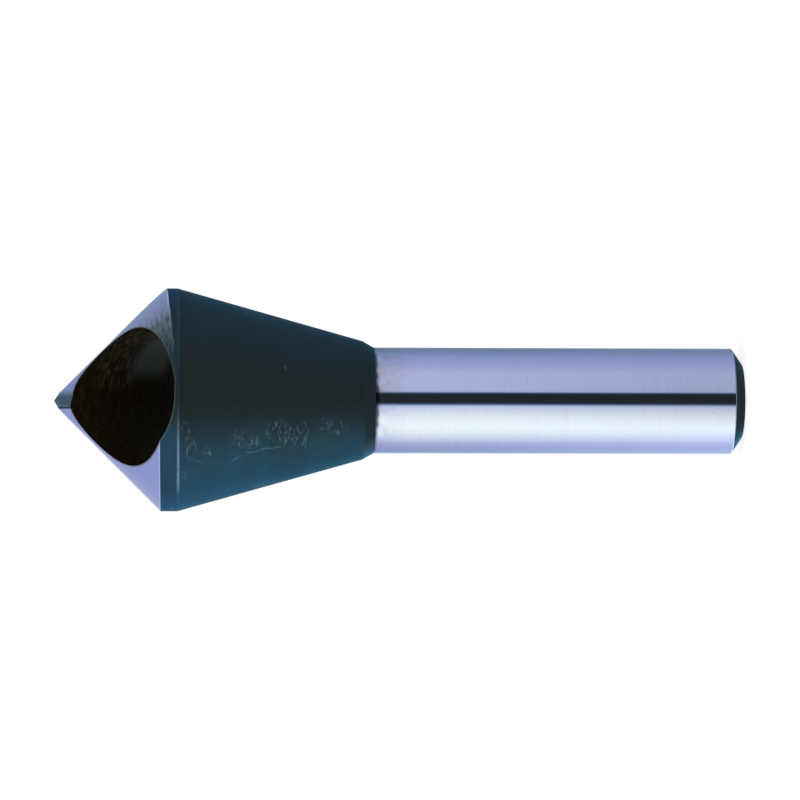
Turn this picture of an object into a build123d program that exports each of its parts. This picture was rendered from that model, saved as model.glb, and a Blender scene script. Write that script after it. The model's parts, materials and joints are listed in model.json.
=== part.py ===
"""Cross-hole countersink bit: one piece of high-speed steel, standing on the end of its shank.

The tool's axis is Z. The flat end of the shank is at Z = 0 and the point is at the top.
The mouth of the cross-hole faces -Y. Polar angles are measured from +X, counter-clockwise
as seen from the point, which is also the way the tool turns when it cuts.
"""

import os
from math import cos, radians, sin, tan

from build123d import *

# Driving dimensions, in millimetres and degrees
overall_length = 65.0
head_diameter = 21.0
shank_diameter = 10.0

point_angle = 90.0  # included angle of the cutting cone
nose_flat_radius = 0.05  # blunt tip, where the relief is deepest
land_length = 1.7  # cylindrical band between the cone and the back taper
land_edge_radius = 0.6  # softened edge where the land meets the taper

shank_length = 34.9  # from the flat end to the neck
neck_step = 0.6  # how far the small end of the back taper stands out from the shank
neck_angle = 30.0  # slope of the short chamfer between neck and shank
foot_chamfer_length = 1.0  # along the axis
foot_chamfer_depth = 1.45  # radially

# The cone is relief ground, so behind the cutting edge it falls away like a cam
cutting_edge_angle = 250.0  # polar angle of the crest
primary_sweep = 282.0  # ground relief that trails the cutting edge
primary_drop = 0.5
heel_sweep = 48.0  # steeper heel that runs into the mouth of the cross-hole
heel_drop_axis = 0.02  # fall of the heel beside the tool's axis
heel_drop_rim = 0.68  # fall of the heel at the head's full diameter

# The oblique cross-hole makes the cutting edge and lets the chip out at the back
bore_diameter = 12.9
bore_tilt = 46.0  # between the hole and the tool's axis
bore_depth = 12.4  # from the tip back to where the hole crosses the axis
bore_offset = 0.3  # sideways, towards +X

# How far the cutting tools stand clear of the finished steel
grinding_stock = 0.3
cutter_overrun = 1.5
cutter_core_radius = 0.02

# Worked out from the driving dimensions
head_radius = head_diameter / 2
shank_radius = shank_diameter / 2
neck_radius = shank_radius + neck_step
cone_fall = 1 / tan(radians(point_angle / 2))  # along the axis, for each mm of radius
crest_apex = overall_length + nose_flat_radius * cone_fall + primary_drop + heel_drop_axis
land_base = crest_apex - head_radius * cone_fall - land_length
neck_height = shank_length + neck_step / tan(radians(neck_angle))
stock_apex = crest_apex + grinding_stock
stock_nose_radius = (stock_apex - overall_length) / cone_fall
cutter_height = grinding_stock + 2 * (primary_drop + heel_drop_rim)
heel_angle = cutting_edge_angle - primary_sweep
mouth_angle = heel_angle - heel_sweep
return_sweep = 360 - primary_sweep - heel_sweep


def cam_sector(low_angle, sweep, low_drop, high_drop, lefthand=False):
    """A sector of the relief, climbing from low_angle; each drop is (beside the axis, at the rim)."""
    guides = []
    for radius in (cutter_core_radius, head_radius + cutter_overrun):
        rim_share = radius / head_radius
        low = low_drop[0] + (low_drop[1] - low_drop[0]) * rim_share
        climb = low - high_drop
        helix = Edge.make_helix(
            pitch=climb * 360 / sweep,
            height=climb,
            radius=radius,
            center=(0, 0, crest_apex - radius * cone_fall - low),
            lefthand=lefthand,
        )
        guides.append(helix.rotate(Axis.Z, low_angle))
    return Face.make_surface_from_curves(*guides)


heel_drop = (primary_drop + heel_drop_axis, primary_drop + heel_drop_rim)
primary_relief = cam_sector(heel_angle, primary_sweep, (primary_drop, primary_drop), 0)
heel_relief = cam_sector(mouth_angle, heel_sweep, heel_drop, primary_drop)
return_relief = cam_sector(mouth_angle, return_sweep, heel_drop, 0, lefthand=True)

with BuildPart() as countersink_bit:
    # Turned blank, with grinding stock left on the cone
    with BuildSketch(Plane.XZ) as blank:
        with BuildLine():
            Polyline(
                (0, 0),
                (shank_radius - foot_chamfer_depth, 0),
                (shank_radius, foot_chamfer_length),
                (shank_radius, shank_length),
                (neck_radius, neck_height),
                (head_radius, land_base),
                (head_radius, stock_apex - head_radius * cone_fall),
                (stock_nose_radius, overall_length),
                (0, overall_length),
                close=True,
            )
        make_face()
        land_corner = blank.vertices().group_by(Axis.X)[-1].sort_by(Axis.Y)[0]
        fillet(land_corner, land_edge_radius)
    revolve(axis=Axis.Z)

    # Relief grinding of the cone
    for relief in (primary_relief, heel_relief, return_relief):
        extrude(relief, amount=cutter_height, dir=(0, 0, 1), mode=Mode.SUBTRACT)

    # Cross-hole, from the front of the cone to the far side of the back taper
    bore_direction = (0, -sin(radians(bore_tilt)), cos(radians(bore_tilt)))
    bore_origin = (bore_offset, 0, overall_length - bore_depth)
    with BuildSketch(Plane(origin=bore_origin, z_dir=bore_direction)):
        Circle(bore_diameter / 2)
    extrude(amount=head_diameter, both=True, mode=Mode.SUBTRACT)

countersink_bit.part.label = "countersink_bit"

os.makedirs("parts", exist_ok=True)
export_step(countersink_bit.part, "parts/countersink_bit.step")
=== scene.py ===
"""Cross-hole countersink bit in ground and black-oxidised steel, on a plain studio floor.

Laid out as a Blender add-on and run as a script. The tool's axis is Z, its point is up and the
mouth of its cross-hole faces -Y. Lengths are in metres.
"""

import json
from math import atan2, cos, hypot, pi, radians, sin, tan

import bmesh
import bpy
from mathutils import Matrix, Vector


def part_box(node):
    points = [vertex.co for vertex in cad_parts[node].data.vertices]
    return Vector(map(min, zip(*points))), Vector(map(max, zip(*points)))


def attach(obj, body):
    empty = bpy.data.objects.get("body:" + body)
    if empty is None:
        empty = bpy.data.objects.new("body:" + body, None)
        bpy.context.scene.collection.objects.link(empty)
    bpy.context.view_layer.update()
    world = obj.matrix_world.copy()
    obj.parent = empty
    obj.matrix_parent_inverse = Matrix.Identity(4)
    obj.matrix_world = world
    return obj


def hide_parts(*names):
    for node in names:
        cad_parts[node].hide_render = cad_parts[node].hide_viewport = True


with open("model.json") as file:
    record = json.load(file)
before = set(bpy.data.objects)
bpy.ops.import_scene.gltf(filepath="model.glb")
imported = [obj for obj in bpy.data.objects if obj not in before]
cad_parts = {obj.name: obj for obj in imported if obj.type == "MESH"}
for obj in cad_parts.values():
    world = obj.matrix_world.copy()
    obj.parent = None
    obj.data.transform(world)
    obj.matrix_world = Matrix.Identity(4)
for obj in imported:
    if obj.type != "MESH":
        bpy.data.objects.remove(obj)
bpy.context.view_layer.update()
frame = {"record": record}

bl_info = {
    "name": "Countersink bit",
    "version": (1, 0, 0),
    "blender": (4, 5, 0),
    "location": "3D View > Sidebar > Countersink",
    "description": "Models a cross-hole countersink bit with its finishes and its studio",
    "category": "Mesh",
}

MM = 0.001
SOLID = "countersink_bit"
SHANK_MOUNT = next(m for m in frame["record"]["mounts"] if m["name"] == "shank")

# How finely the mesh is divided
COLUMNS = 360  # one column of faces for each degree, so the cam's corners fall on columns
CONE_ROWS = 36
TAPER_ROWS = 20
SHANK_ROWS = 16
EDGE_ROWS = 6  # across a softened edge
DRILL_COLUMNS = 256
SAME_PLACE = 1e-6  # heights closer than this are the same
SLIVER = 0.01 * MM  # vertices of a mouth closer than this are merged
SMOOTH_UP_TO = radians(4)  # faces that meet at a larger angle keep their corner

# The rim's further relief grows with these powers, of the radius and of the way past the crest
RIM_POWER = 14
TRAIL_POWER = 5

# The finishes in the order of their slots, and how far a face's normal rises or falls when it
# belongs to the cone or to the shank's end
OXIDE, SHANK, CONE, BORE = range(4)
CONE_RISE = 0.3
END_FALL = -0.6


def linear(colour):
    """Turns an sRGB hex colour into linear red, green, blue and alpha."""
    parts = [int(colour[i:i + 2], 16) / 255 for i in (0, 2, 4)]
    return (*(p / 12.92 if p <= 0.04045 else ((p + 0.055) / 1.055) ** 2.4 for p in parts), 1.0)


def length(name, description, millimetres):
    """A length that the user can change, given in millimetres and kept in metres."""
    return bpy.props.FloatProperty(
        name=name, description=description, default=millimetres * MM, unit="LENGTH"
    )


def angle(name, description, default):
    """An angle that the user can change, given in degrees and kept in radians."""
    return bpy.props.FloatProperty(
        name=name, description=description, default=radians(default), subtype="ANGLE"
    )


def colour(name, description, default):
    """A colour that the user can change, given as sRGB hex."""
    return bpy.props.FloatVectorProperty(
        name=name, description=description, default=linear(default), size=4, subtype="COLOR",
        min=0, max=1,
    )


class BitSizes(bpy.types.PropertyGroup):
    """Sizes of the countersink bit."""

    overall_length: length("Overall length", "From the end of the shank to the point",
                           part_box(SOLID)[1].z / MM)
    head_diameter: length("Head diameter", "Diameter of the land",
                          2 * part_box(SOLID)[1].x / MM)
    shank_diameter: length("Shank diameter", "Diameter that the chuck holds",
                           2 * SHANK_MOUNT["dims"]["r_mm"])
    shank_length: length("Shank length", "From the flat end to the neck", 34.9)
    neck_step: length("Neck step", "How far the taper's small end stands out from the shank", 0.6)
    neck_angle: angle("Neck angle", "Slope of the chamfer at the neck", 30)
    foot_chamfer_length: length("Foot chamfer length", "Chamfer of the shank's end, along the axis",
                                1)
    foot_chamfer_depth: length("Foot chamfer depth", "Chamfer of the shank's end, radially", 1.45)
    point_angle: angle("Point angle", "Included angle of the cutting cone", 90)
    nose_flat_radius: length("Nose flat", "Sets how far the cone's crest runs above the tip", 0.05)
    nose_depth: length("Nose depth", "From the tip to where the nose meets the cone", 0.48)
    nose_offset: length("Nose offset", "From the axis to the tip, which lies towards -X", 0.12)
    land_length: length("Land length", "Cylindrical band between cone and taper", 1.7)
    land_edge_radius: length("Land edge radius", "Softened edge between land and taper", 0.6)
    broken_edge: length("Broken edge", "How far back other edges are softened", 0.09)
    cutting_edge_angle: angle("Cutting edge", "Polar angle of the cam's crest", 250)
    primary_sweep: angle("Primary sweep", "Ground relief that trails the cutting edge", 282)
    primary_drop: length("Primary drop", "Fall of the ground relief", 0.5)
    rim_relief: length("Rim relief", "Further fall at the rim, where the wheel ran off", 0.35)
    heel_sweep: angle("Heel sweep", "Steeper heel that runs into the mouth", 48)
    heel_drop_axis: length("Heel drop at the axis", "Fall of the heel beside the axis", 0.02)
    heel_drop_rim: length("Heel drop at the rim", "Fall of the heel at the land", 0.74)
    bore_diameter: length("Cross-hole diameter", "Oblique hole that lets the chip out", 12.9)
    bore_tilt: angle("Cross-hole tilt", "Between the hole and the tool's axis", 46)
    bore_depth: length("Cross-hole depth", "From the point to where the hole meets the axis", 12.4)
    bore_offset: length("Cross-hole offset", "Sideways, towards +X", 0.3)


class BitFinishes(bpy.types.PropertyGroup):
    """Colours of the countersink bit."""

    steel: colour("Steel", "Ground high-speed steel", "b3b8e3")
    oxide: colour("Black oxide", "Brown-black body of the oxide skin", "57482f")
    oxide_film: colour("Oxide film", "Light thrown back by the skin's smooth top", "043f53")
    # Painted sheen: the land's film colour on the side that faces the lamp
    land_lamp_side_sheen: colour("Land's film", "The same on one side of the land", "06476f")
    # The chamfers' greyer film; on one side of the neck it is painted shade
    chamfer_film_and_shade: colour("Chamfers' film", "The same at the neck and the shank's end", "38414b")
    # Painted sheen: the land's film colour on its flanks
    land_flank_sheen: colour("Thick film", "The same where the land's film grew thickest", "166292")
    oxide_edge: colour("Oxide film's edge", "The film seen along the surface", "b0e6ff")
    worn_oxide: colour("Worn oxide", "Oxide rubbed thin, with the steel showing through", "8ab6d4")
    # Oxide worn from the land's edge, also a painted highlight where the edge faces the lamp
    worn_edge_and_highlight: colour("Worn edge", "Oxide worn from the land's edge", "8fb2e4")
    # Bare, rough metal at the mouths; on the black skin its lighter colour is partly a painted
    # highlight
    bruised_edge_and_glint: colour("Bruised edge", "Bare, rough metal along the mouths' edges", "8a8478")
    cone_steel: colour("Cone's steel", "The same steel where the cone is ground", "bfbdf3")
    tarnish: colour("Straw tarnish", "Dull steel beside the neck", "a3a4b5")
    lilac_tarnish: colour("Lilac tarnish", "The same on the other side", "a3a6da")
    bore: colour("Cross-hole", "Scale left in the hole", "231905")
    bore_ridge: colour("Drill marks", "Ridges that the drill left in the scale", "4b463b")
    # A greyer patch on the hole's wall, which is a painted reflection
    bore_reflection_patch: colour("Wiped patch", "Greyer patch on the cross-hole's wall", "515857")
    floor: colour("Floor", "Paper under the tool", "e6e6e6")


def add_node(tree, kind, sockets=None, **settings):
    """Adds a node, sets its options, and feeds its sockets from values or from other nodes."""
    made = tree.nodes.new(kind)
    for name, value in settings.items():
        setattr(made, name, value)
    for socket, value in (sockets or {}).items():
        if isinstance(value, bpy.types.Node):
            value = value.outputs[0]
        if isinstance(value, bpy.types.NodeSocket):
            tree.links.new(value, made.inputs[socket])
        else:
            made.inputs[socket].default_value = value
    return made


def blank_material(name):
    """A new material and its empty node tree."""
    material = bpy.data.materials.new(name)
    material.use_nodes = True
    material.node_tree.nodes.clear()
    return material, material.node_tree


# ---------------------------------------------------------------- shape


def cone_fall(sizes):
    """How far the cone falls for each metre of radius."""
    return 1 / tan(sizes.point_angle / 2)


def crest_apex(sizes):
    """Height at which the cone's crest, drawn on, would meet the axis."""
    return (sizes.overall_length + sizes.nose_flat_radius * cone_fall(sizes)
            + sizes.primary_drop + sizes.heel_drop_axis)


def land_base(sizes):
    """Height at which the land meets the taper."""
    return crest_apex(sizes) - sizes.head_diameter / 2 * cone_fall(sizes) - sizes.land_length


def neck_height(sizes):
    """Height at which the neck's chamfer meets the taper."""
    return sizes.shank_length + sizes.neck_step / tan(sizes.neck_angle)


def neck_radius(sizes):
    """Radius of the taper's small end."""
    return sizes.shank_diameter / 2 + sizes.neck_step


def pick(piece, kind, wanted):
    """In edit mode, selects only the faces or edges that are wanted."""
    bpy.ops.mesh.select_all(action="DESELECT")
    bpy.ops.mesh.select_mode(type=kind)
    mesh = bmesh.from_edit_mesh(piece.data)
    for part in mesh.faces if kind == "FACE" else mesh.edges:
        if wanted(part):
            part.select_set(True)
    bmesh.update_edit_mesh(piece.data)


def pick_end(piece, way):
    """Selects the flat end face that looks up (1) or down (-1)."""
    pick(piece, "FACE", lambda face: face.normal.z * way > 0.9)


def pick_ring(piece, height):
    """Selects the ring of edges at a height."""
    pick(piece, "EDGE", lambda edge: all(abs(v.co.z - height) < SAME_PLACE for v in edge.verts))


def draw_out(rise, radius_before, radius_after):
    """Extrudes the selected end face along the axis and turns it to a new radius."""
    factor = radius_after / radius_before
    bpy.ops.mesh.extrude_region_move(TRANSFORM_OT_translate={"value": (0, 0, rise)})
    bpy.ops.transform.resize(value=(factor, factor, 1), center_override=(0, 0, 0))


def add_rows(piece, low, high, rows):
    """Divides the straight edges between two heights into rows of faces."""
    def runs_between(edge):
        heights = sorted(vert.co.z for vert in edge.verts)
        return abs(heights[0] - low) < SAME_PLACE and abs(heights[1] - high) < SAME_PLACE
    pick(piece, "EDGE", runs_between)
    bpy.ops.mesh.subdivide(number_cuts=rows - 1)


def select_only(piece):
    """Makes a piece the only one selected, and the active one."""
    bpy.ops.object.select_all(action="DESELECT")
    piece.select_set(True)
    bpy.context.view_layer.objects.active = piece


def cam_drop(sizes, polar, radius):
    """How far the relief-ground cone lies below its crest, at a polar angle and a radius."""
    rim_share = 2 * radius / sizes.head_diameter
    low_heel = sizes.heel_drop_axis + (sizes.heel_drop_rim - sizes.heel_drop_axis) * rim_share
    low_rim = sizes.rim_relief * rim_share ** RIM_POWER
    behind = (sizes.cutting_edge_angle - polar) % (2 * pi)
    if behind <= sizes.primary_sweep:
        share = behind / sizes.primary_sweep
        return sizes.primary_drop * share + low_rim * share ** TRAIL_POWER
    behind -= sizes.primary_sweep
    low_primary = sizes.primary_drop + low_rim
    if behind <= sizes.heel_sweep:
        return low_primary + low_heel * behind / sizes.heel_sweep
    behind -= sizes.heel_sweep
    back_to_crest = 2 * pi - sizes.primary_sweep - sizes.heel_sweep
    return (low_primary + low_heel) * (1 - behind / back_to_crest)


def walls_hole(sizes, middle, normal):
    """Whether a face with this middle and normal is part of the cross-hole's wall."""
    to_axis = (-sizes.bore_offset, 0, sizes.bore_depth - sizes.overall_length)
    into_hole = Matrix.Rotation(-sizes.bore_tilt, 4, "X") @ Matrix.Translation(to_axis)
    outwards = into_hole @ middle
    outwards.z = 0
    looks_in = (into_hole.to_3x3() @ normal).dot(outwards.normalized()) < -0.5
    return looks_in and outwards.length < sizes.bore_diameter / 2 + 2 * SAME_PLACE


def turn_blank(sizes):
    """The turned blank, with rows of faces on the cone, taper and shank and its edges softened."""
    head_radius = sizes.head_diameter / 2
    shank_radius = sizes.shank_diameter / 2
    chamfer_top = sizes.foot_chamfer_length
    neck = neck_height(sizes)
    land = land_base(sizes)
    rim = land + sizes.land_length
    nose = crest_apex(sizes) - sizes.nose_flat_radius * cone_fall(sizes)

    # The shank is a cylinder, and the rest is drawn out of its two ends
    bpy.ops.object.select_all(action="DESELECT")
    bpy.ops.mesh.primitive_cylinder_add(
        vertices=COLUMNS, radius=shank_radius, depth=sizes.shank_length - chamfer_top,
        location=(0, 0, (sizes.shank_length + chamfer_top) / 2),
    )
    bit = bpy.context.active_object
    bit.name = bit.data.name = "countersink_bit_finished"
    bpy.ops.object.transform_apply(location=True, rotation=False, scale=False)
    bpy.ops.object.mode_set(mode="EDIT")
    pick_end(bit, -1)
    draw_out(-chamfer_top, shank_radius, shank_radius - sizes.foot_chamfer_depth)
    pick_end(bit, 1)
    draw_out(neck - sizes.shank_length, shank_radius, neck_radius(sizes))
    draw_out(land - neck, neck_radius(sizes), head_radius)
    draw_out(sizes.land_length, head_radius, head_radius)
    draw_out(nose - rim, head_radius, sizes.nose_flat_radius)
    add_rows(bit, chamfer_top, sizes.shank_length, SHANK_ROWS)
    add_rows(bit, neck, land, TAPER_ROWS)
    add_rows(bit, rim, nose, CONE_ROWS)

    # A rounded edge between land and taper, as long each way as its radius asks for, and
    # lightly broken edges at the neck and the shank's end
    taper_angle = atan2(head_radius - neck_radius(sizes), land - neck)
    for height, back in ((land, sizes.land_edge_radius * tan(taper_angle / 2)),
                         (neck, sizes.broken_edge), (chamfer_top, sizes.broken_edge)):
        pick_ring(bit, height)
        bpy.ops.mesh.bevel(offset=back, segments=EDGE_ROWS)
    pick_end(bit, 1)
    bpy.ops.mesh.poke()
    bpy.ops.object.mode_set(mode="OBJECT")
    return bit


def grind_cone(bit, sizes):
    """Grinds the cone's relief. No operator follows a cam, so its vertices are set by formula.

    The rows start where the cam's surface meets the nose, which narrows from there to the tip.
    """
    head_radius = sizes.head_diameter / 2
    apex, fall = crest_apex(sizes), cone_fall(sizes)
    rim = land_base(sizes) + sizes.land_length
    for vert in bit.data.vertices:
        if vert.co.z < rim - SAME_PLACE:
            continue
        radius = hypot(vert.co.x, vert.co.y)
        if radius < sizes.nose_flat_radius / 2:
            vert.co = (-sizes.nose_offset, 0, sizes.overall_length)
            continue
        polar = atan2(vert.co.y, vert.co.x)
        share = (radius - sizes.nose_flat_radius) / (head_radius - sizes.nose_flat_radius)
        nose = sizes.nose_flat_radius
        for _ in range(6):  # the nose's radius and the drop depend on each other, and settle
            nose = (apex - sizes.overall_length + sizes.nose_depth
                    - cam_drop(sizes, polar, nose)) / fall
        new_radius = nose + share * (head_radius - nose)
        vert.co.x *= new_radius / radius
        vert.co.y *= new_radius / radius
        vert.co.z = apex - new_radius * fall - cam_drop(sizes, polar, new_radius)


def drill_hole(bit, sizes):
    """Drills the oblique cross-hole and merges the slivers that the cut leaves at its mouths."""
    bpy.ops.object.select_all(action="DESELECT")
    bpy.ops.mesh.primitive_cylinder_add(
        vertices=DRILL_COLUMNS, radius=sizes.bore_diameter / 2, depth=2 * sizes.head_diameter,
        location=(sizes.bore_offset, 0, sizes.overall_length - sizes.bore_depth),
        rotation=(sizes.bore_tilt, 0, 0),
    )
    drill = bpy.context.active_object
    select_only(bit)
    bpy.ops.object.modifier_add(type="BOOLEAN")
    hole = bit.modifiers[-1]
    hole.operation = "DIFFERENCE"
    hole.solver = "EXACT"
    hole.object = drill
    bpy.ops.object.modifier_apply(modifier=hole.name)
    bpy.data.objects.remove(drill)

    bpy.ops.object.mode_set(mode="EDIT")
    pick(bit, "EDGE", lambda edge: len({
        walls_hole(sizes, face.calc_center_median(), face.normal)
        for face in edge.link_faces}) == 2)
    bpy.ops.mesh.remove_doubles(threshold=SLIVER)
    bpy.ops.object.mode_set(mode="OBJECT")


# ---------------------------------------------------------------- parts of the finishes


def bearing(tree, point):
    """A point's X, Y and Z, and its angle round the axis in radians: 0 at the mouth's side (-Y)
    and growing towards +X."""
    split = add_node(tree, "ShaderNodeSeparateXYZ", {0: point})
    turn = add_node(tree, "ShaderNodeMath", {
        0: split.outputs["X"], 1: times(tree, split.outputs["Y"], -1)}, operation="ARCTAN2")
    return split, turn.outputs[0]


def in_millimetres(tree):
    """Object coordinates in millimetres, so that a pattern's scale is one over its real size."""
    place = add_node(tree, "ShaderNodeTexCoord").outputs["Object"]
    return add_node(tree, "ShaderNodeVectorMath", {0: place, "Scale": 1 / MM}, operation="SCALE")


def ranged(tree, value, start, full, low=0, high=1, **settings):
    """A number that goes from low to high while a value goes from start to full."""
    return add_node(tree, "ShaderNodeMapRange", {
        "Value": value, "From Min": start, "From Max": full, "To Min": low, "To Max": high},
        **settings)


def turned_past(tree, turn, start, full, low=0, high=1):
    """The same for an angle round the axis, with the ends given in degrees."""
    return ranged(tree, turn, radians(start), radians(full), low, high)


def patches(tree, point, per_mm, start, full, detail=3, stretch=(1, 1, 1)):
    """Patches from 0 to 1, of about the given number to a millimetre. They begin where the
    noise passes one value and are full at another."""
    spread = add_node(tree, "ShaderNodeMapping", {"Vector": point, "Scale": stretch})
    noise = add_node(tree, "ShaderNodeTexNoise", {
        "Vector": spread, "Scale": per_mm, "Detail": detail})
    return ranged(tree, noise, start, full)


def near(tree, value, middle, half_width, fade):
    """1 where a value is within a half width of the middle, falling to 0 over the fade."""
    away = add_node(tree, "ShaderNodeMath", {0: value, 1: middle}, operation="SUBTRACT")
    size = add_node(tree, "ShaderNodeMath", {0: away}, operation="ABSOLUTE")
    return ranged(tree, size, half_width, half_width + fade, 1, 0,
                  interpolation_type="SMOOTHSTEP")


def turned_near(tree, turn, middle, half_width, fade):
    """The same for an angle round the axis, with everything given in degrees."""
    return near(tree, turn, radians(middle), radians(half_width), radians(fade))


def times(tree, first, second):
    """Two masks or numbers multiplied."""
    return add_node(tree, "ShaderNodeMath", {0: first, 1: second}, operation="MULTIPLY")


def add_share(tree, value, share, base):
    """A share of a value, added to a base."""
    return add_node(tree, "ShaderNodeMath", {0: value, 1: share, 2: base},
                    operation="MULTIPLY_ADD")


def outside(tree, mask):
    """1 where a mask is 0, and 0 where it is 1."""
    return add_node(tree, "ShaderNodeMath", {0: 1, 1: mask}, operation="SUBTRACT")


def strongest(tree, masks):
    """The highest of several masks."""
    top = masks[0]
    for mask in masks[1:]:
        top = add_node(tree, "ShaderNodeMath", {0: top, 1: mask}, operation="MAXIMUM")
    return top


def blended(tree, share, first, second, way="MIX"):
    """A colour between two others, or with MULTIPLY the first one filtered by the second."""
    return add_node(tree, "ShaderNodeMix", {0: share, 6: first, 7: second},
                    data_type="RGBA", blend_type=way).outputs[2]


def darker(shade, factor):
    """A colour with less light in it."""
    return [part * factor for part in shade[:3]] + [1]


def relief(tree, height, strength, depth_mm):
    """Fine relief for a shader's normal, of a depth in millimetres."""
    return add_node(tree, "ShaderNodeBump", {
        "Height": height, "Strength": strength, "Distance": depth_mm * MM})


def off_axis(tree, point):
    """How far a point is from the Z axis."""
    flat = add_node(tree, "ShaderNodeVectorMath", {0: point, 1: (1, 1, 0)}, operation="MULTIPLY")
    return add_node(tree, "ShaderNodeVectorMath", {0: flat}, operation="LENGTH").outputs["Value"]


def from_hole(tree, sizes, point):
    """A point in the cross-hole's own frame, in millimetres with the hole along Z."""
    return add_node(tree, "ShaderNodeMapping", {
        "Vector": point, "Rotation": (sizes.bore_tilt, 0, 0),
        "Location": (sizes.bore_offset / MM, 0, (sizes.overall_length - sizes.bore_depth) / MM)},
        vector_type="TEXTURE")


def mouth_rim_wear_and_glint(tree, sizes, point, width):
    """The bruised rim of the hole's mouths, partly wear and partly a painted highlight, of about
    the given width in millimetres.
    """
    away = off_axis(tree, from_hole(tree, sizes, point))
    return near(tree, away, sizes.bore_diameter / 2 / MM, width, 0.06)


# ---------------------------------------------------------------- marks of use

# Scratches that the taper has picked up in use: width and the bearing and height of each bend
TAPER_SCRATCHES = (
    (0.17, (-32.3, 52.5), (-36.5, 51), (-38.5, 49.8)),
    (0.19, (-39, 48.6), (-34.5, 47.2), (-33.4, 45.8), (-33.5, 43.8)),
    (0.13, (-14.5, 42.9), (-13, 42.3), (-17.5, 41.6), (-23.5, 41.3), (-39, 41.4)),
    (0.13, (-11, 40.8), (-16, 41.3)),
    (0.14, (-24, 40.8), (-25.3, 39.7)),
    (0.12, (-24, 39.3), (-17.5, 39)),
    (0.14, (-19.6, 52.5), (-20, 51.8), (-27.4, 51.7)),
    (0.13, (-30.3, 51), (-30.2, 50.4)),
    (0.16, (-30, 49.7), (-25.5, 49.5)),
    (0.17, (-17.3, 49.9), (-15.8, 49.2)),
    (0.11, (-13, 44.9), (-45, 44.8)),
)
# Patches where it was rubbed in short strokes: width and the ends of each patch's middle line
TAPER_RUBS = (
    (2.0, (-23, 47.7), (-27, 46.6)),
    (2.7, (-20, 44.3), (-29, 42.4)),
    (1.3, (-14, 52.6), (-31, 52.4)),
    (1.7, (-20, 39.8), (-24, 38.2)),
    (0.9, (25, 43.6), (24, 43.3)),
    (0.6, (-12, 52.75), (-44, 52.75)),
    (0.8, (-28, 50.9), (-30, 50.3)),
)


def on_taper(sizes, bearing_degrees, height):
    """A point on the taper in millimetres, by its angle round from the mouth's side."""
    low, high, small = neck_height(sizes), land_base(sizes), neck_radius(sizes)
    radius = small + (sizes.head_diameter / 2 - small) * (height * MM - low) / (high - low)
    turn = radians(bearing_degrees)
    return (radius / MM * sin(turn), -radius / MM * cos(turn), height)


def scratch(tree, point, start, end, width):
    """A scratch of the given width along the straight line between two points."""
    run = [b - a for a, b in zip(start, end)]
    from_start = add_node(tree, "ShaderNodeVectorMath", {0: point, 1: start}, operation="SUBTRACT")
    along = add_node(tree, "ShaderNodeVectorMath", {0: from_start, 1: run},
                     operation="DOT_PRODUCT")
    share = add_node(tree, "ShaderNodeMath", {
        0: along.outputs["Value"], 1: 1 / sum(r * r for r in run)},
        operation="MULTIPLY", use_clamp=True)
    nearest = add_node(tree, "ShaderNodeVectorMath", {0: run, "Scale": share}, operation="SCALE")
    gap = add_node(tree, "ShaderNodeVectorMath", {0: from_start, 1: nearest}, operation="DISTANCE")
    return ranged(tree, gap.outputs["Value"], width / 4, width / 2, 1, 0)


def scratches(tree, sizes, point, table):
    """All the scratches of a table, from 0 to 1."""
    return strongest(tree, [
        scratch(tree, point, on_taper(sizes, *start), on_taper(sizes, *end), width)
        for width, *bends in table for start, end in zip(bends, bends[1:])])


def rubbed_thin(tree, sizes, point, turn):
    """Where use has thinned the oxide: in hairlines, and in patches of short strokes."""
    breaks = patches(tree, point, 0.9, 0.38, 0.6)

    # The hairlines wander a little, because the point that they are drawn from is moved by noise
    drift = add_node(tree, "ShaderNodeTexNoise", {"Vector": point, "Scale": 0.7, "Detail": 2})
    offset = add_node(tree, "ShaderNodeVectorMath", {
        0: drift.outputs["Color"], 1: (0.5, 0.5, 0.5)}, operation="SUBTRACT")
    wander = add_node(tree, "ShaderNodeVectorMath", {
        0: offset, 1: (0.8, 0.8, 0.8), 2: point}, operation="MULTIPLY_ADD")
    hairlines = times(tree, scratches(tree, sizes, wander, TAPER_SCRATCHES),
                      ranged(tree, breaks, 0, 1, 0.09, 0.24))

    # The sides that the tables leave out have a few patches too
    away = add_node(tree, "ShaderNodeMath", {0: turn}, operation="ABSOLUTE")
    sparse = times(tree, patches(tree, point, 0.33, 0.56, 0.63, detail=2),
                   turned_past(tree, away, 60, 75))
    rubs = strongest(tree, [scratches(tree, sizes, point, TAPER_RUBS), sparse])

    # Fine curls, and strokes about 0.6 mm long that run round the tool
    curl = add_node(tree, "ShaderNodeTexNoise", {
        "Vector": add_node(tree, "ShaderNodeMapping", {"Vector": point, "Scale": (0.7, 0.7, 1.3)}),
        "Scale": 1, "Detail": 1, "Distortion": 1.2})
    curls = times(tree, near(tree, curl, 0.5, 0.008, 0.03), times(tree, breaks, 0.6))
    strokes = patches(tree, point, 2.2, 0.57, 0.72, detail=1, stretch=(0.7, 0.7, 1.9))
    rubbed = times(tree, strongest(tree, [curls, strokes]), rubs)
    return strongest(tree, [hairlines, times(tree, rubbed, 0.33)])


# ---------------------------------------------------------------- finishes


def oxide_skin(tree, finishes, film, rim, roughness, grain):
    """The shader of black oxide: a brown-black body under a smooth film with a cool sheen,
    bruised along a mouth's rim, whose lighter colour is partly a painted highlight."""
    body = add_node(tree, "ShaderNodeBsdfPrincipled", {
        "Base Color": blended(tree, rim, finishes.oxide, finishes.bruised_edge_and_glint),
        "Roughness": 0.7, "Specular IOR Level": 0, "Normal": grain})
    sheen = add_node(tree, "ShaderNodeBsdfPrincipled", {
        "Base Color": film, "Metallic": 1, "Roughness": roughness,
        "Specular Tint": finishes.oxide_edge, "Normal": grain})
    return add_node(tree, "ShaderNodeMixShader", {0: 0.7, 1: body, 2: sheen})


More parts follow.
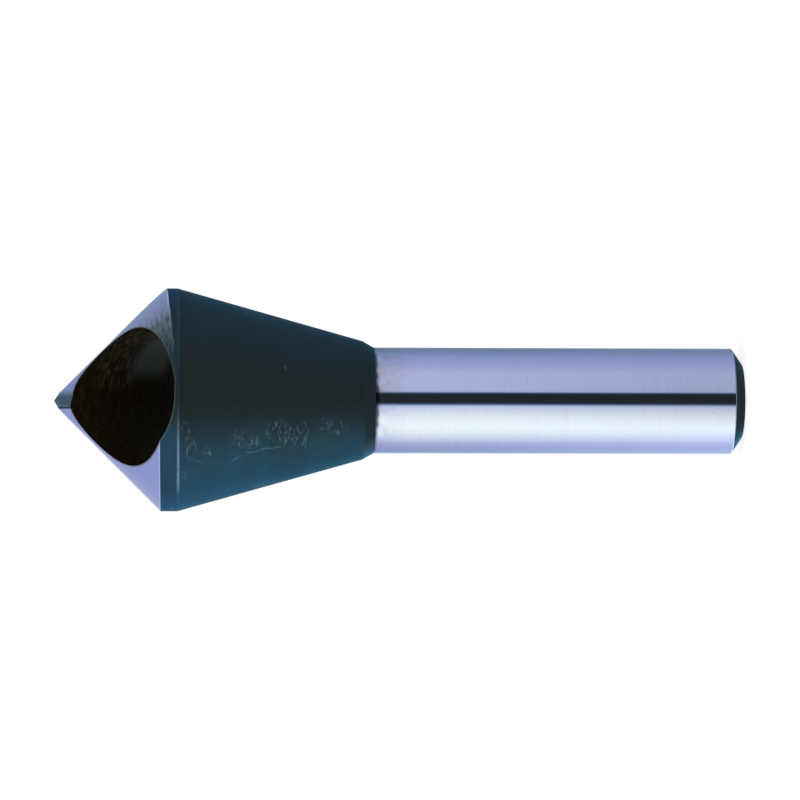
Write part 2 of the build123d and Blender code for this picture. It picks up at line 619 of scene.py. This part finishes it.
def unworn_film(tree, sizes, finishes, point, on_land):
    """The colour of the oxide's film: painted sheen makes it bluer on the land's side towards the
    lamp and brighter and bluer on the land's flanks. It is greyer on the chamfers, with painted
    shade on one side of the neck's, and lies in broad, uneven bands round the tool."""
    split, turn = bearing(tree, point)
    height = split.outputs["Z"]
    # Painted sheen: the land's film is bluer on the side that faces the lamp
    lamp_side = turned_past(tree, turn, -8, -18)
    film = blended(tree, times(tree, lamp_side, on_land), finishes.oxide_film, finishes.land_lamp_side_sheen)
    # Painted sheen: the land's film is brighter and bluer on its flanks
    flank_sheen = strongest(tree, [turned_past(tree, turn, -52, -70),
                              turned_past(tree, turn, 45, 80, high=0.5)])
    film = blended(tree, times(tree, on_land, flank_sheen), film, finishes.land_flank_sheen)

    # All of the chamfer at the shank's end, and one side of the chamfer at the neck, where the
    # greyer film is painted shade
    at_end = near(tree, height, 0, sizes.foot_chamfer_length / MM, 0.05)
    neck_shade_side = times(tree, near(tree, height, sizes.shank_length / MM + 0.52, 0.5, 0.05),
                    turned_near(tree, turn, -80, 25, 20))
    film = blended(tree, strongest(tree, [at_end, times(tree, neck_shade_side, 0.6)]), film,
                   finishes.chamfer_film_and_shade)

    # The taper is bluer next to the head, up to a sharp line, on the lamp side only
    by_head = times(tree, ranged(tree, height, 44.7, 45), outside(tree, on_land))
    film = blended(tree, times(tree, by_head, lamp_side), film, (1, 1.22, 1.28, 1), "MULTIPLY")
    bands = patches(tree, point, 1, 0.32, 0.68, detail=4, stretch=(0.12, 0.12, 0.4))
    uneven = blended(tree, bands, (0.78, 0.8, 0.8, 1), (1, 1, 1, 1))
    return blended(tree, 1, film, uneven, "MULTIPLY")


def black_oxide(sizes, finishes):
    """Black oxide: a thin skin of iron oxide grown in a hot salt bath over a turned surface.
    Nearly black and brownish in itself, with a cool satin sheen. It is rubbed thin in
    hairlines and in short strokes, and worn to the steel along the land's edge, which a painted
    highlight makes brightest on the side towards the lamp."""
    material, tree = blank_material("black_oxide_skin")
    point = in_millimetres(tree)
    split, turn = bearing(tree, point)
    height = split.outputs["Z"]
    land_edge = land_base(sizes) / MM
    on_land = add_node(tree, "ShaderNodeMath", {0: height, 1: land_edge},
                       operation="GREATER_THAN")

    # The edge between land and taper is worn; a painted highlight makes it strongest on the side
    # towards the lamp
    lamp_highlight_side = ranged(tree, turned_near(tree, turn, -31, 14, 16), 0, 1, low=0.16)
    edge = times(tree, near(tree, height, land_edge, 0.06, 0.1), times(
        tree, patches(tree, point, 0.6, 0.3, 0.5, detail=5), lamp_highlight_side))
    film = unworn_film(tree, sizes, finishes, point, on_land)
    film = blended(tree, rubbed_thin(tree, sizes, point, turn), film, finishes.worn_oxide)
    film = blended(tree, times(tree, edge, 0.45), film, finishes.worn_edge_and_highlight)

    # The worn edge is smoother, the land more matt, and all of it a little cloudy
    matt = strongest(tree, [ranged(tree, edge, 0, 1, 0.38, 0.26), times(tree, on_land, 0.46)])
    satin = add_share(tree, patches(tree, point, 0.35, 0.3, 0.7), 0.05, matt)

    # Turning marks 0.15 mm apart run round the tool, under the skin
    turned = patches(tree, point, 1, 0, 1, stretch=(0.12, 0.12, 6.5))
    # The mouths' lighter rim on the skin is partly wear and partly a painted highlight
    skin = oxide_skin(tree, finishes, film, mouth_rim_wear_and_glint(tree, sizes, point, 0.07), satin,
                      relief(tree, turned, 0.25, 0.01))
    add_node(tree, "ShaderNodeOutputMaterial", {"Surface": skin})
    return material


def ground_steel(sizes, finishes):
    """Ground high-speed steel: bright metal with fine marks that run round the tool, a few
    pits, and a dull, blotchy tarnish next to the neck that the wheel couldn't reach."""
    material, tree = blank_material("ground_high_speed_steel")
    point = in_millimetres(tree)
    split, turn = bearing(tree, point)
    height = split.outputs["Z"]
    neck = sizes.shank_length / MM
    marks = patches(tree, point, 1, 0.25, 0.75, detail=4, stretch=(0.1, 0.1, 5))
    steel = blended(tree, marks, darker(finishes.steel, 0.95), finishes.steel)
    steel = blended(tree, patches(tree, point, 0.4, 0.35, 0.7), steel, linear("b0b9e0"))

    # The tarnish is greyer on the +X side and bluer on the -X side
    tarnish = times(tree, ranged(tree, height, neck - 3.2, neck - 0.4),
                    patches(tree, point, 1.1, 0.34, 0.66, detail=6))
    plus_x_side = turned_past(tree, turn, 0, 8)
    steel = blended(tree, tarnish, steel,
                    blended(tree, plus_x_side, finishes.lilac_tarnish, finishes.tarnish))
    pits = patches(tree, point, 2.2, 0.76, 0.82, detail=1)
    steel = blended(tree, times(tree, pits, 0.6), steel, linear("8a8ea8"))

    # The wheel stops just short of the corner, which keeps a fringe of black, wider in front
    wider = add_share(tree, turned_near(tree, turn, 5, 12, 48), 0.2, height)
    fringe = add_share(tree, patches(tree, point, 0.8, 0.2, 0.8, detail=6), 0.34, wider)
    black = ranged(tree, fringe, neck - 0.06, neck + 0.24, high=0.9)
    steel = blended(tree, black, steel, linear("14181c"))
    shader = add_node(tree, "ShaderNodeBsdfPrincipled", {
        "Base Color": steel, "Metallic": 1,
        "Roughness": ranged(tree, strongest(tree, [tarnish, black]), 0, 1, 0.085, 0.14),
        "Normal": relief(tree, marks, 0.12, 0.004)})
    add_node(tree, "ShaderNodeOutputMaterial", {"Surface": shader})
    return material


def relief_ground_steel(sizes, finishes):
    """The cone: ground bright behind the cutting edge. The heel was only just touched by the
    wheel, so it goes from brushed grey back to the black skin."""
    material, tree = blank_material("relief_ground_steel")
    point = in_millimetres(tree)
    split, turn = bearing(tree, point)

    # The wheel's streaks run round the tool, so their pattern is laid out by the angle
    unrolled = add_node(tree, "ShaderNodeCombineXYZ", {
        "X": times(tree, turn, 9), "Y": split.outputs["Z"]})
    streaks = patches(tree, unrolled, 1, 0.3, 0.7, detail=6, stretch=(1, 4.2, 1))
    ragged = add_share(tree, streaks, radians(12), turn)

    # The heel lies between the cutting edge and the mouth's far side. It is grey as far as the
    # wheel brushed it and black where it was left untouched.
    crest = -0.8  # the cutting edge's X, in millimetres
    mouth_side = add_node(tree, "ShaderNodeMath", {0: split.outputs["Y"], 1: 0},
                          operation="LESS_THAN")
    heel = times(tree, ranged(tree, split.outputs["X"], crest - 0.14, crest), mouth_side)
    brushed = turned_past(tree, ragged, 50, 74, 1, 0)
    untouched = turned_past(tree, ragged, 31, 60, 0.97, 0)

    # Near the point, a thin and greener skin is left beside the cutting edge
    at_point = ranged(tree, split.outputs["Z"], 61, 63)
    off_point = outside(tree, at_point)
    thin = times(tree, ranged(tree, split.outputs["X"], 0.95, 0.3, high=0.76), at_point)
    brink = near(tree, split.outputs["X"], crest, 0.02, 0.4)
    grey = times(tree, times(tree, heel, brushed), off_point)
    skin = times(tree, heel, strongest(tree, [times(tree, untouched, off_point), thin, brink]))

    marks = patches(tree, point, 1, 0.25, 0.75, detail=4, stretch=(0.2, 0.2, 5))
    steel = blended(tree, marks, darker(finishes.cone_steel, 0.96), finishes.cone_steel)
    # A painted highlight: lighter steel in a thin line along the cone's outer rim
    cone_rim_highlight = near(tree, off_axis(tree, point), sizes.head_diameter / 2 / MM, 0.06, 0.1)
    steel = blended(tree, cone_rim_highlight, steel, linear("e2e6ff"))
    scuffed = blended(tree, streaks, linear("848c89"), linear("a4a9a8"))
    steel = blended(tree, grey, steel, scuffed)
    steel = blended(tree, times(tree, thin, heel), steel, linear("bfdcf0"))
    # The mouths' rim is bruised grey and rough here; on the black skin the same colour is partly a
    # painted highlight
    rim = mouth_rim_wear_and_glint(tree, sizes, point, 0.09)
    steel = blended(tree, times(tree, rim, 0.75), steel, finishes.bruised_edge_and_glint)

    grain = relief(tree, marks, 0.15, 0.005)
    bright = add_node(tree, "ShaderNodeBsdfPrincipled", {
        "Base Color": steel, "Metallic": 1,
        "Roughness": ranged(tree, strongest(tree, [grey, rim]), 0, 1, 0.19, 0.36),
        "Normal": grain})
    black = oxide_skin(tree, finishes, finishes.oxide_film, rim, 0.38, grain)
    finish = add_node(tree, "ShaderNodeMixShader", {0: skin, 1: bright, 2: black})
    add_node(tree, "ShaderNodeOutputMaterial", {"Surface": finish})
    return material


def bore_scale(sizes, finishes):
    """The cross-hole: drilled before hardening and left with brown-black scale over the
    drill's torn, uneven marks, so it drinks the light."""
    material, tree = blank_material("scaled_drilled_bore")
    along = from_hole(tree, sizes, in_millimetres(tree))
    split = add_node(tree, "ShaderNodeSeparateXYZ", {0: along})
    depth, sideways = split.outputs["Z"], split.outputs["X"]

    # The drill tore the wall most on one side of its way in
    torn = patches(tree, along, 1.5, 0.44, 0.64, detail=4, stretch=(0.8, 0.8, 2))
    way_in = times(tree, near(tree, depth, 3, 1.6, 2.2), ranged(tree, sideways, 0, 2.5))
    marks = times(tree, torn, strongest(tree, [way_in, 0.2]))
    shade = blended(tree, marks, finishes.bore, finishes.bore_ridge)

    # One greyer patch on the wall is a painted reflection
    reflection_patch = times(tree, near(tree, depth, -1.2, 1.3, 1.8), near(tree, sideways, 3.9, 0.9, 1.7))
    shader = add_node(tree, "ShaderNodeBsdfPrincipled", {
        "Base Color": blended(tree, reflection_patch, shade, finishes.bore_reflection_patch),
        "Roughness": ranged(tree, marks, 0, 1, 0.46, 0.6), "Specular IOR Level": 0.03,
        "Normal": relief(tree, marks, 0.6, 0.08)})
    add_node(tree, "ShaderNodeOutputMaterial", {"Surface": shader})
    return material


def finish_bit(bit, sizes, finishes):
    """Gives each face its finish and smooths what isn't a real corner."""
    for finish in (black_oxide, ground_steel, relief_ground_steel, bore_scale):
        bit.data.materials.append(finish(sizes, finishes))
    shank_foot = sizes.foot_chamfer_length - sizes.broken_edge
    for face in bit.data.polygons:
        if walls_hole(sizes, face.center, face.normal):
            face.material_index = BORE
        elif face.normal.z > CONE_RISE:
            face.material_index = CONE
        elif shank_foot < face.center.z < sizes.shank_length and face.normal.z > END_FALL:
            face.material_index = SHANK
        else:
            face.material_index = OXIDE
    select_only(bit)
    bpy.ops.object.shade_smooth_by_angle(angle=SMOOTH_UP_TO)
    # The large faces keep their own normals beside the narrow ones of a softened edge
    bpy.ops.object.modifier_add(type="WEIGHTED_NORMAL")
    even = bit.modifiers[-1]
    even.weight = 100
    even.keep_sharp = True
    bpy.ops.object.modifier_apply(modifier=even.name)


class COUNTERSINK_OT_make_bit(bpy.types.Operator):
    """Models the countersink bit and gives it its finishes"""

    bl_idname = "countersink.make_bit"
    bl_label = "Make the bit"

    def execute(self, context):
        sizes = context.scene.bit_sizes
        bit = turn_blank(sizes)
        grind_cone(bit, sizes)
        drill_hole(bit, sizes)
        finish_bit(bit, sizes, context.scene.bit_finishes)
        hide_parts(SOLID)
        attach(bit, "root")
        return {"FINISHED"}


# ---------------------------------------------------------------- studio

# Brightness of the light tent's cloth at bearings round the tool, in degrees: at the tool's own
# height, below it and above it. The gap near 0 is the slot that the camera looks through.
CLOTH_LEVEL = (
    (-180, 0.6), (-142, 0.62), (-121, 0.7), (-105, 0.9), (-92, 1.3), (-75, 1.75), (-58, 2.0),
    (-45, 1.88), (-31, 1.64), (-13, 1.22), (-10, 0.68), (-7.5, 0.15), (-5.5, 0.04), (16.2, 0.03),
    (19.5, 0.88), (35, 0.91), (64, 0.88), (85, 0.7), (108, 0.61), (129, 0.46), (150, 0.33),
    (180, 0.45),
)
CLOTH_BELOW = (
    (-180, 1.5), (-140, 2.1), (-116, 1.95), (-90, 1.9), (-67, 1.78), (-54, 1.28), (-41, 0.58),
    (-20, 0.14), (-10, 0.02), (40, 0.02), (60, 0.24), (90, 0.5), (120, 0.5), (150, 0.54),
    (180, 0.8),
)
CLOTH_ABOVE = ((-180, 0.56), (-90, 0.62), (0, 0.5), (90, 0.44), (150, 0.48), (180, 0.48))
UNDERNEATH = (0.2, 0.2, 0.21, 1)  # the dark stand under the tent, at half its strength
COOL_BELOW = (0.85, 0.95, 1.1, 1)
COOL_ABOVE = (0.82, 1, 1.16, 1)
# The cloth's colour at the tool's height by its brightness, from the slot over the shaded
# cloth to the lamp's patch
CLOTH_COLOUR = (
    (0, (0, 0, 0)), (0.03, (0.03, 0.035, 0.02)), (0.06, (0.047, 0.06, 0.08)),
    (0.28, (0.19, 0.28, 0.35)), (0.46, (0.34, 0.46, 0.53)), (0.62, (0.54, 0.62, 0.73)),
    (0.8, (0.82, 0.82, 0.86)), (1.25, (1.24, 1.26, 1.07)), (1.94, (1.95, 1.94, 1.28)),
)
# How far up or down a ray points where the cloth at the tool's height gives way to the next
BELOW_FROM, BELOW_TO = -0.06, -0.42
STAND_FROM, STAND_TO = -0.46, -0.66
ABOVE_FROM, ABOVE_TO = 0.15, 0.55

FLOOR_RADIUS = 2
FLOOR_SIDES = 96
FLOOR_DROP = 0.01 * MM  # under the shank's end
SEEN_PAPER = (0.4, 0.4, 0.4, 1)  # the paper's colour for camera rays, which the glow adds to
SEEN_GLOW = 0.85

CAMERA_LENS = 210.3  # focal length and the sensor's width, in millimetres
CAMERA_SENSOR = 36
CAMERA_DISTANCE = 441.7 * MM
CAMERA_TARGET = (0.043 * MM, 32.38 * MM)  # X and Z of the point on the tool that it looks at
CAMERA_RISE = radians(3.11)
CAMERA_ROLL = radians(0.15)


def fill_ramp(ramp, stops):
    """Sets a colour ramp's steps from pairs of place and colour."""
    steps = ramp.color_ramp.elements
    while len(steps) < len(stops):
        steps.new(0.5)
    for step, (place, shade) in zip(steps, stops):
        step.position = place
        step.color = (*shade, 1)
    return ramp.outputs[0]


def cloth_ramp(tree, turn, levels):
    """The cloth's brightness by bearing, at half its strength."""
    ramp = add_node(tree, "ShaderNodeValToRGB", {0: turned_past(tree, turn, -180, 180)})
    return fill_ramp(ramp, [((around + 180) / 360, (level / 2,) * 3) for around, level in levels])


def lay_floor(context, paper_colour):
    """Pale paper floor. The glow for camera rays alone takes it to white, and the tool's shadow
    stays. The metal mirrors the tent and not the floor."""
    bpy.ops.object.select_all(action="DESELECT")
    bpy.ops.mesh.primitive_circle_add(
        vertices=FLOOR_SIDES, radius=FLOOR_RADIUS, fill_type="NGON", location=(0, 0, -FLOOR_DROP))
    floor = context.active_object
    floor.name = "paper_floor"
    floor.visible_glossy = False
    material, tree = blank_material("white_paper")
    sight = add_node(tree, "ShaderNodeLightPath").outputs["Is Camera Ray"]
    paper = add_node(tree, "ShaderNodeBsdfDiffuse", {
        "Color": blended(tree, sight, paper_colour, SEEN_PAPER)})
    glow = add_node(tree, "ShaderNodeEmission", {"Strength": times(tree, sight, SEEN_GLOW)})
    both = add_node(tree, "ShaderNodeAddShader", {0: paper, 1: glow})
    add_node(tree, "ShaderNodeOutputMaterial", {"Surface": both})
    floor.data.materials.append(material)


def hang_tent(scene):
    """The light tent, which the tool mirrors, and a white backdrop for the camera alone."""
    world = bpy.data.worlds.new("light_tent")
    scene.world = world
    world.use_nodes = True
    tree = world.node_tree
    tree.nodes.clear()
    split, turn = bearing(tree, add_node(tree, "ShaderNodeTexCoord").outputs["Generated"])
    slope = split.outputs["Z"]
    level = fill_ramp(
        add_node(tree, "ShaderNodeValToRGB", {0: cloth_ramp(tree, turn, CLOTH_LEVEL)}),
        [(level / 2, [c / 2 for c in shade]) for level, shade in CLOTH_COLOUR])
    below, above = (
        blended(tree, 1, cloth_ramp(tree, turn, levels), tint, "MULTIPLY")
        for levels, tint in ((CLOTH_BELOW, COOL_BELOW), (CLOTH_ABOVE, COOL_ABOVE)))
    cloth = blended(tree, ranged(tree, slope, BELOW_FROM, BELOW_TO), level, below)
    cloth = blended(tree, ranged(tree, slope, STAND_FROM, STAND_TO), cloth, UNDERNEATH)
    cloth = blended(tree, ranged(tree, slope, ABOVE_FROM, ABOVE_TO), cloth, above)
    tent = add_node(tree, "ShaderNodeBackground", {"Color": cloth, "Strength": 2})
    backdrop = add_node(tree, "ShaderNodeBackground", {"Color": (1, 1, 1, 1), "Strength": 1})
    sight = add_node(tree, "ShaderNodeLightPath").outputs["Is Camera Ray"]
    seen = add_node(tree, "ShaderNodeMixShader", {0: sight, 1: tent, 2: backdrop})
    add_node(tree, "ShaderNodeOutputWorld", {"Surface": seen})


def place_camera(scene):
    """The camera lies on its side, so the point is at the left of the picture."""
    aside, height = CAMERA_TARGET
    camera = bpy.data.objects.new("camera", bpy.data.cameras.new("camera"))
    scene.collection.objects.link(camera)
    camera.data.sensor_width = CAMERA_SENSOR
    camera.data.lens = CAMERA_LENS
    camera.data.clip_start, camera.data.clip_end = 0.01, 10
    camera.matrix_world = Matrix((
        (0, 1, 0, aside),
        (-sin(CAMERA_RISE), 0, -cos(CAMERA_RISE), -CAMERA_DISTANCE * cos(CAMERA_RISE)),
        (-cos(CAMERA_RISE), 0, sin(CAMERA_RISE), height + CAMERA_DISTANCE * sin(CAMERA_RISE)),
        (0, 0, 0, 1),
    )) @ Matrix.Rotation(CAMERA_ROLL, 4, "Z")
    scene.camera = camera


class COUNTERSINK_OT_make_stage(bpy.types.Operator):
    """Lays the floor, hangs the light tent and sets up the camera"""

    bl_idname = "countersink.make_stage"
    bl_label = "Make the stage"

    def execute(self, context):
        context.scene.view_settings.view_transform = "Standard"
        lay_floor(context, context.scene.bit_finishes.floor)
        hang_tent(context.scene)
        place_camera(context.scene)
        return {"FINISHED"}


class COUNTERSINK_PT_panel(bpy.types.Panel):
    """Lists the sizes, the finishes and the buttons"""

    bl_idname = "COUNTERSINK_PT_panel"
    bl_label = "Countersink bit"
    bl_space_type = "VIEW_3D"
    bl_region_type = "UI"
    bl_category = "Countersink"

    def draw(self, context):
        for group in (context.scene.bit_sizes, context.scene.bit_finishes):
            for name in group.__annotations__:
                self.layout.prop(group, name)
        self.layout.operator(COUNTERSINK_OT_make_bit.bl_idname)
        self.layout.operator(COUNTERSINK_OT_make_stage.bl_idname)


CLASSES = (BitSizes, BitFinishes, COUNTERSINK_OT_make_bit, COUNTERSINK_OT_make_stage,
           COUNTERSINK_PT_panel)


def register():
    for made in CLASSES:
        bpy.utils.register_class(made)
    bpy.types.Scene.bit_sizes = bpy.props.PointerProperty(type=BitSizes)
    bpy.types.Scene.bit_finishes = bpy.props.PointerProperty(type=BitFinishes)


def unregister():
    del bpy.types.Scene.bit_finishes
    del bpy.types.Scene.bit_sizes
    for made in reversed(CLASSES):
        bpy.utils.unregister_class(made)


def main():
    register()
    bpy.ops.countersink.make_bit()
    bpy.ops.countersink.make_stage()


if __name__ == "__main__":
    main()
